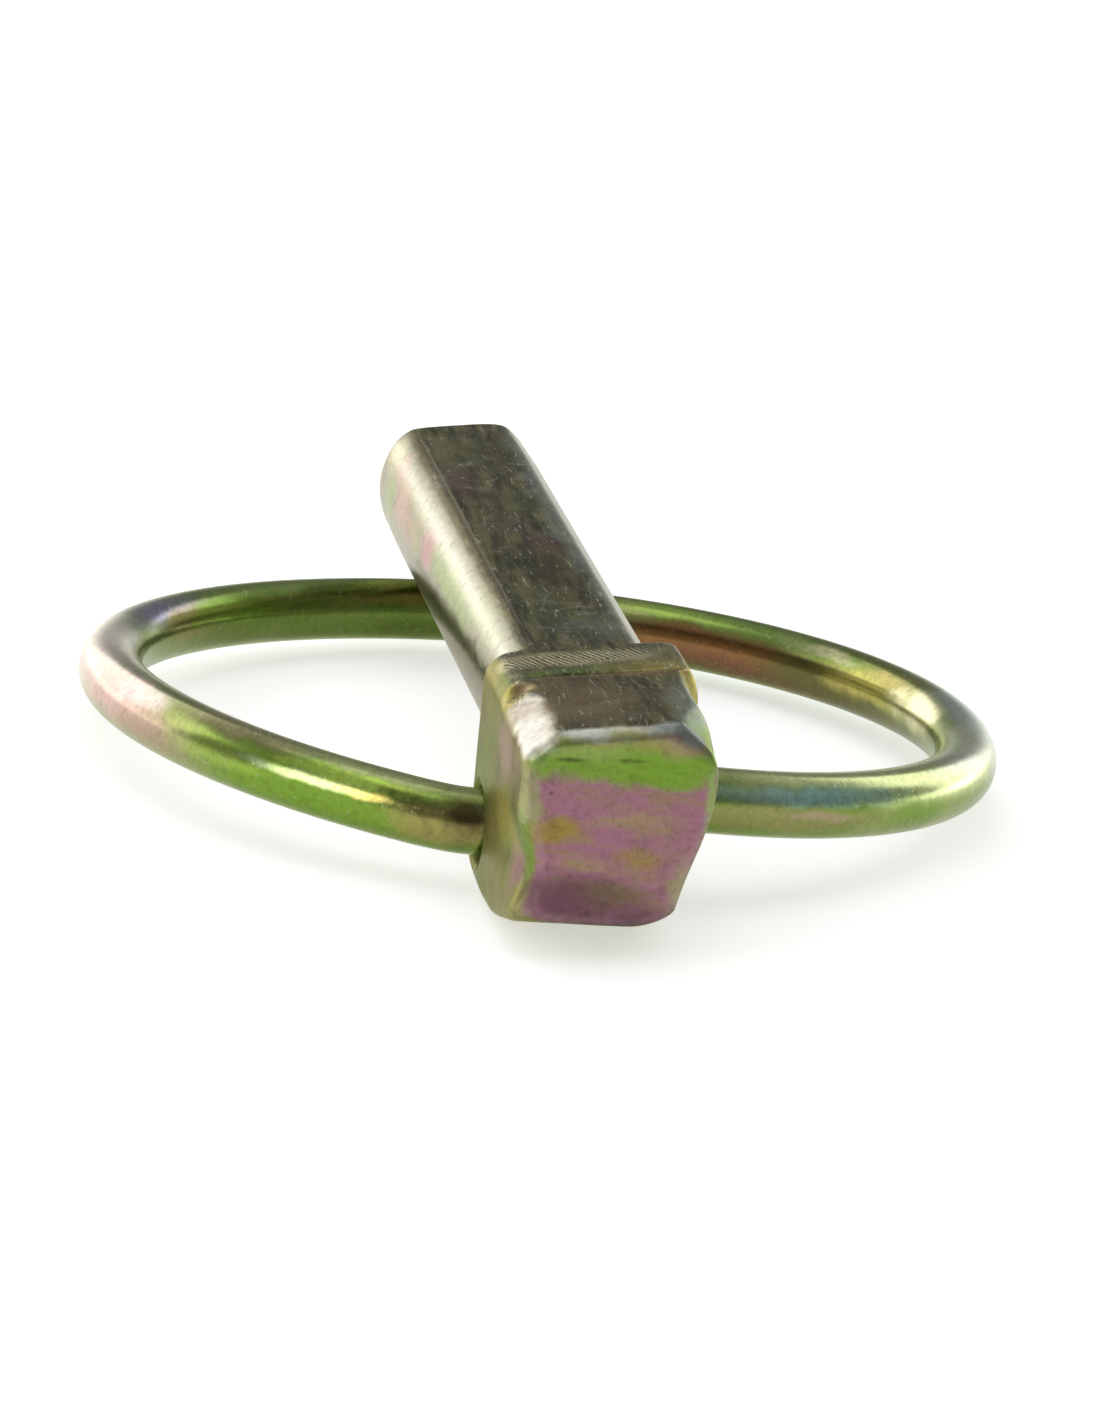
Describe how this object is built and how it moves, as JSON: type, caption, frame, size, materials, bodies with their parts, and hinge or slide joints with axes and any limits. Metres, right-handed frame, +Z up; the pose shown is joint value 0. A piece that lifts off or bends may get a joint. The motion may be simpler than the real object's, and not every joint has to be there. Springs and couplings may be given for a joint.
{
  "type": "lynch pin",
  "caption": "Lynch pin: a short forged steel pin with a pressed flat, a blocky head and a spring wire ring that swings round the head and snaps shut along the shaft.",
  "frame": {"origin": "on the shaft's axis, in the plane of the head's shoulder where the shaft leaves the head", "axes": "+Y along the shaft's axis from the head to the tip, +Z up from the belly that the pin lies on, +X to the right seen from the front of the head"},
  "size_m": [0.0577, 0.0712, 0.0149],
  "materials": {
    "pin_plating": "forged steel with iridescent yellow chromate on zinc, worn bright along the edges",
    "ring_plating": "drawn spring wire with glossy green and yellow chromate on zinc"
  },
  "bodies": {
    "pin": {"pin": "pin_plating"},
    "ring": {"spring_ring": "ring_plating"}
  },
  "joints": [
    {"name": "ring_swing", "type": "hinge", "parent": "pin", "child": "ring", "pos_m": [0, -0.00331, -0.00515], "axis": [-0.9826, 0.051, -0.1786], "range_deg": [0, 343]}
  ]
}
